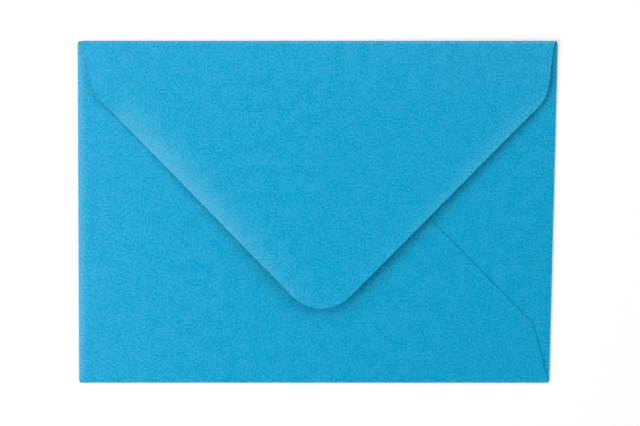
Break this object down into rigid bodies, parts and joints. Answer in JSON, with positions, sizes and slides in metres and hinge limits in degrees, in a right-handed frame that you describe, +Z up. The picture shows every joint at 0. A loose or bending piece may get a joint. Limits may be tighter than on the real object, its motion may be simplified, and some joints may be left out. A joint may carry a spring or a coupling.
{
  "type": "paper envelope",
  "caption": "Closed paper envelope folded from one sheet, with a rounded pointed flap folded down and a V seam below it, lying flap side up.",
  "frame": {"origin": "under the middle of the envelope's body, on the surface that it lies on", "axes": "+X to the right along the top fold, +Y from the bottom fold to the top fold, +Z up out of the flap side"},
  "size_m": [0.1854, 0.133, 0.0037],
  "materials": {
    "paper": "satin"
  },
  "bodies": {
    "root": {"envelope": "paper"}
  },
  "joints": []
}
